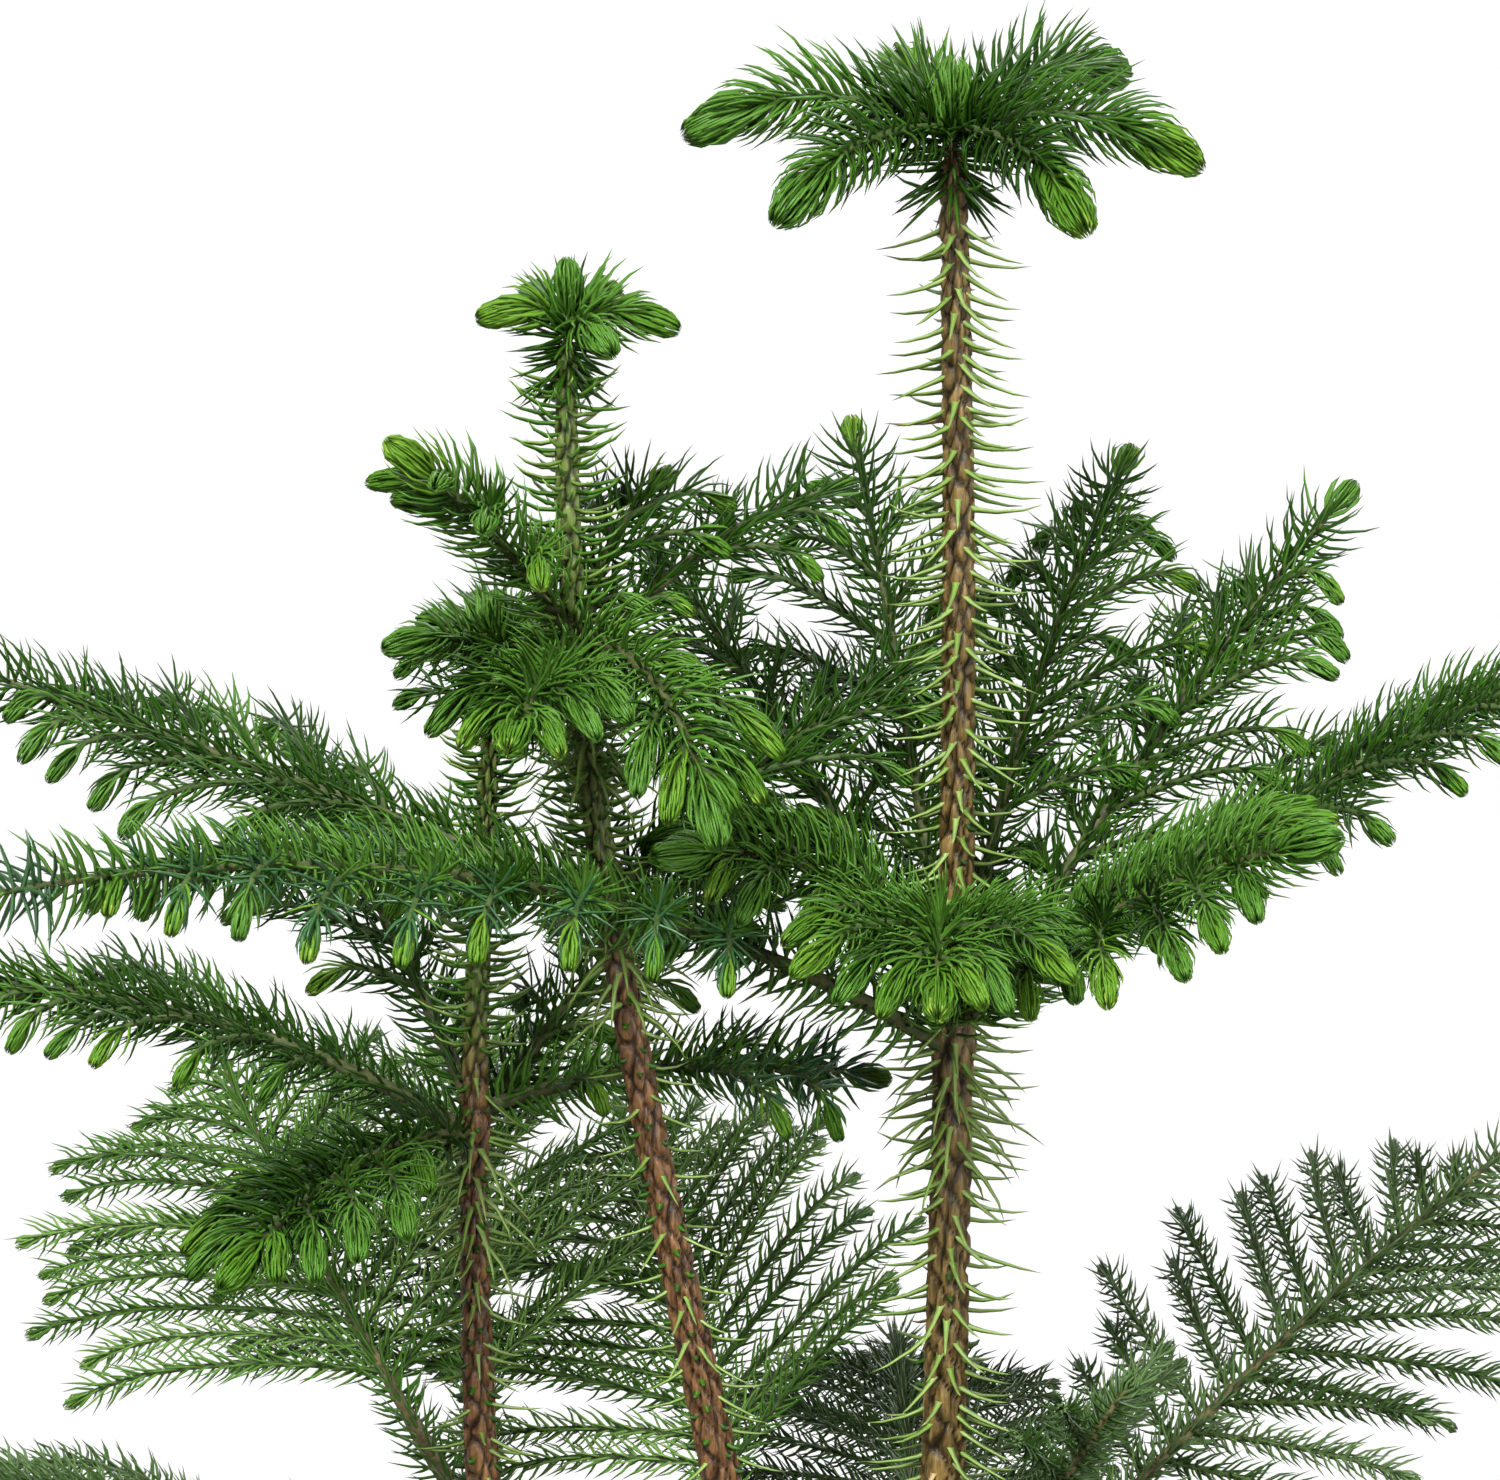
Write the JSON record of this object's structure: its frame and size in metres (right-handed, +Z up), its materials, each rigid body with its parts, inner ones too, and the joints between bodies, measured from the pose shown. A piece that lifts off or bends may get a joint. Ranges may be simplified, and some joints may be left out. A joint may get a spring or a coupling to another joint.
{
  "type": "norfolk island pine",
  "caption": "Young Norfolk Island pine: a clump of slender brown stems from a shared root crown, with whorls of flat fern-like fronds and a brush-like green crown on each stem.",
  "frame": {"origin": "centre of the flat cut under the tall stem, at ground level", "axes": "+Z up the stems, +X to the right in the pictured view, +Y away from the viewer"},
  "size_m": [0.4535, 0.3697, 0.5176],
  "materials": {
    "bark": "rough brown bark",
    "bough_bark": "greenish brown young bark",
    "foliage": "semi-gloss dark green needles",
    "young_foliage": "semi-gloss bright green needles"
  },
  "bodies": {
    "root": {"leaning_crown": "young_foliage", "leaning_lower_bough_1": "bough_bark", "leaning_lower_bough_2": "bough_bark", "leaning_lower_bough_3": "bough_bark", "leaning_lower_frond_1": "foliage", "leaning_lower_frond_2": "foliage", "leaning_lower_frond_3": "foliage", "leaning_middle_frond_1": "foliage", "leaning_middle_frond_2": "foliage", "leaning_middle_frond_3": "foliage", "leaning_stem": "bark", "leaning_upper_frond_1": "foliage", "leaning_upper_frond_2": "foliage", "leaning_upper_frond_3": "foliage", "leaning_upper_frond_4": "foliage", "leaning_upper_frond_5": "foliage", "short_crown": "young_foliage", "short_lower_bough_1": "bough_bark", "short_lower_bough_2": "bough_bark", "short_lower_bough_3": "bough_bark", "short_lower_bough_4": "bough_bark", "short_lower_frond_1": "foliage", "short_lower_frond_2": "foliage", "short_lower_frond_3": "foliage", "short_lower_frond_4": "foliage", "short_stem": "bark", "short_upper_frond_1": "foliage", "short_upper_frond_2": "foliage", "short_upper_frond_3": "foliage", "short_upper_frond_4": "foliage", "short_upper_frond_5": "foliage", "tall_crown": "young_foliage", "tall_lower_bough_1": "bough_bark", "tall_lower_bough_2": "bough_bark", "tall_lower_bough_3": "bough_bark", "tall_lower_bough_4": "bough_bark", "tall_lower_frond_1": "foliage", "tall_lower_frond_2": "foliage", "tall_lower_frond_3": "foliage", "tall_lower_frond_4": "foliage", "tall_middle_bough_1": "bough_bark", "tall_middle_bough_2": "bough_bark", "tall_middle_bough_3": "bough_bark", "tall_middle_bough_4": "bough_bark", "tall_middle_bough_5": "bough_bark", "tall_middle_frond_1": "foliage", "tall_middle_frond_2": "foliage", "tall_middle_frond_3": "foliage", "tall_middle_frond_4": "foliage", "tall_middle_frond_5": "foliage", "tall_stem": "bark", "tall_upper_frond_1": "foliage", "tall_upper_frond_2": "foliage", "tall_upper_frond_3": "foliage", "tall_upper_frond_4": "foliage", "tall_upper_frond_5": "foliage", "tall_upper_frond_6": "foliage", "tall_upper_frond_7": "foliage", "tall_upper_frond_8": "foliage", "tall_upper_frond_9": "foliage"}
  },
  "joints": []
}
